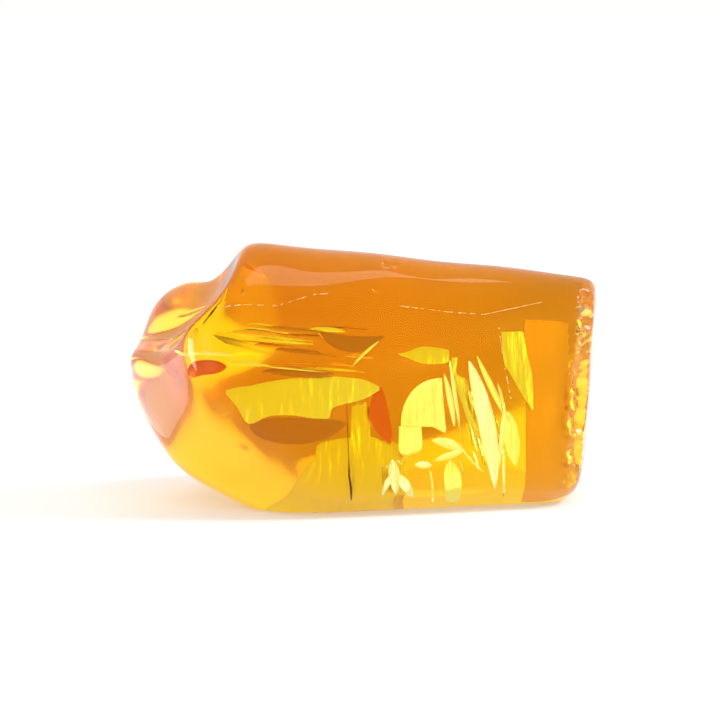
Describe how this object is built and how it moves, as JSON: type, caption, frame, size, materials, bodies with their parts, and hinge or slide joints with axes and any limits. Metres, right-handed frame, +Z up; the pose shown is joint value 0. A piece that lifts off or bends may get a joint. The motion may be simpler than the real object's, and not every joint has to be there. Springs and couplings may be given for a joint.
{
  "type": "raw amber piece",
  "caption": "Clear honey-orange amber nugget, tumbled smooth, with one blunt broken end and a saddle hollow by its narrow end, resting on a flat underside.",
  "frame": {"origin": "on the resting face's plane, z = 0, under the centre of the stone's box", "axes": "+X along the stone to its broken end, -Y to its broad clear face, +Z up"},
  "size_m": [0.042, 0.0268, 0.0235],
  "materials": {
    "amber_resin": "clear fossil resin, polished by tumbling, rubbed matt behind"
  },
  "bodies": {
    "root": {"amber": "amber_resin"}
  },
  "joints": []
}
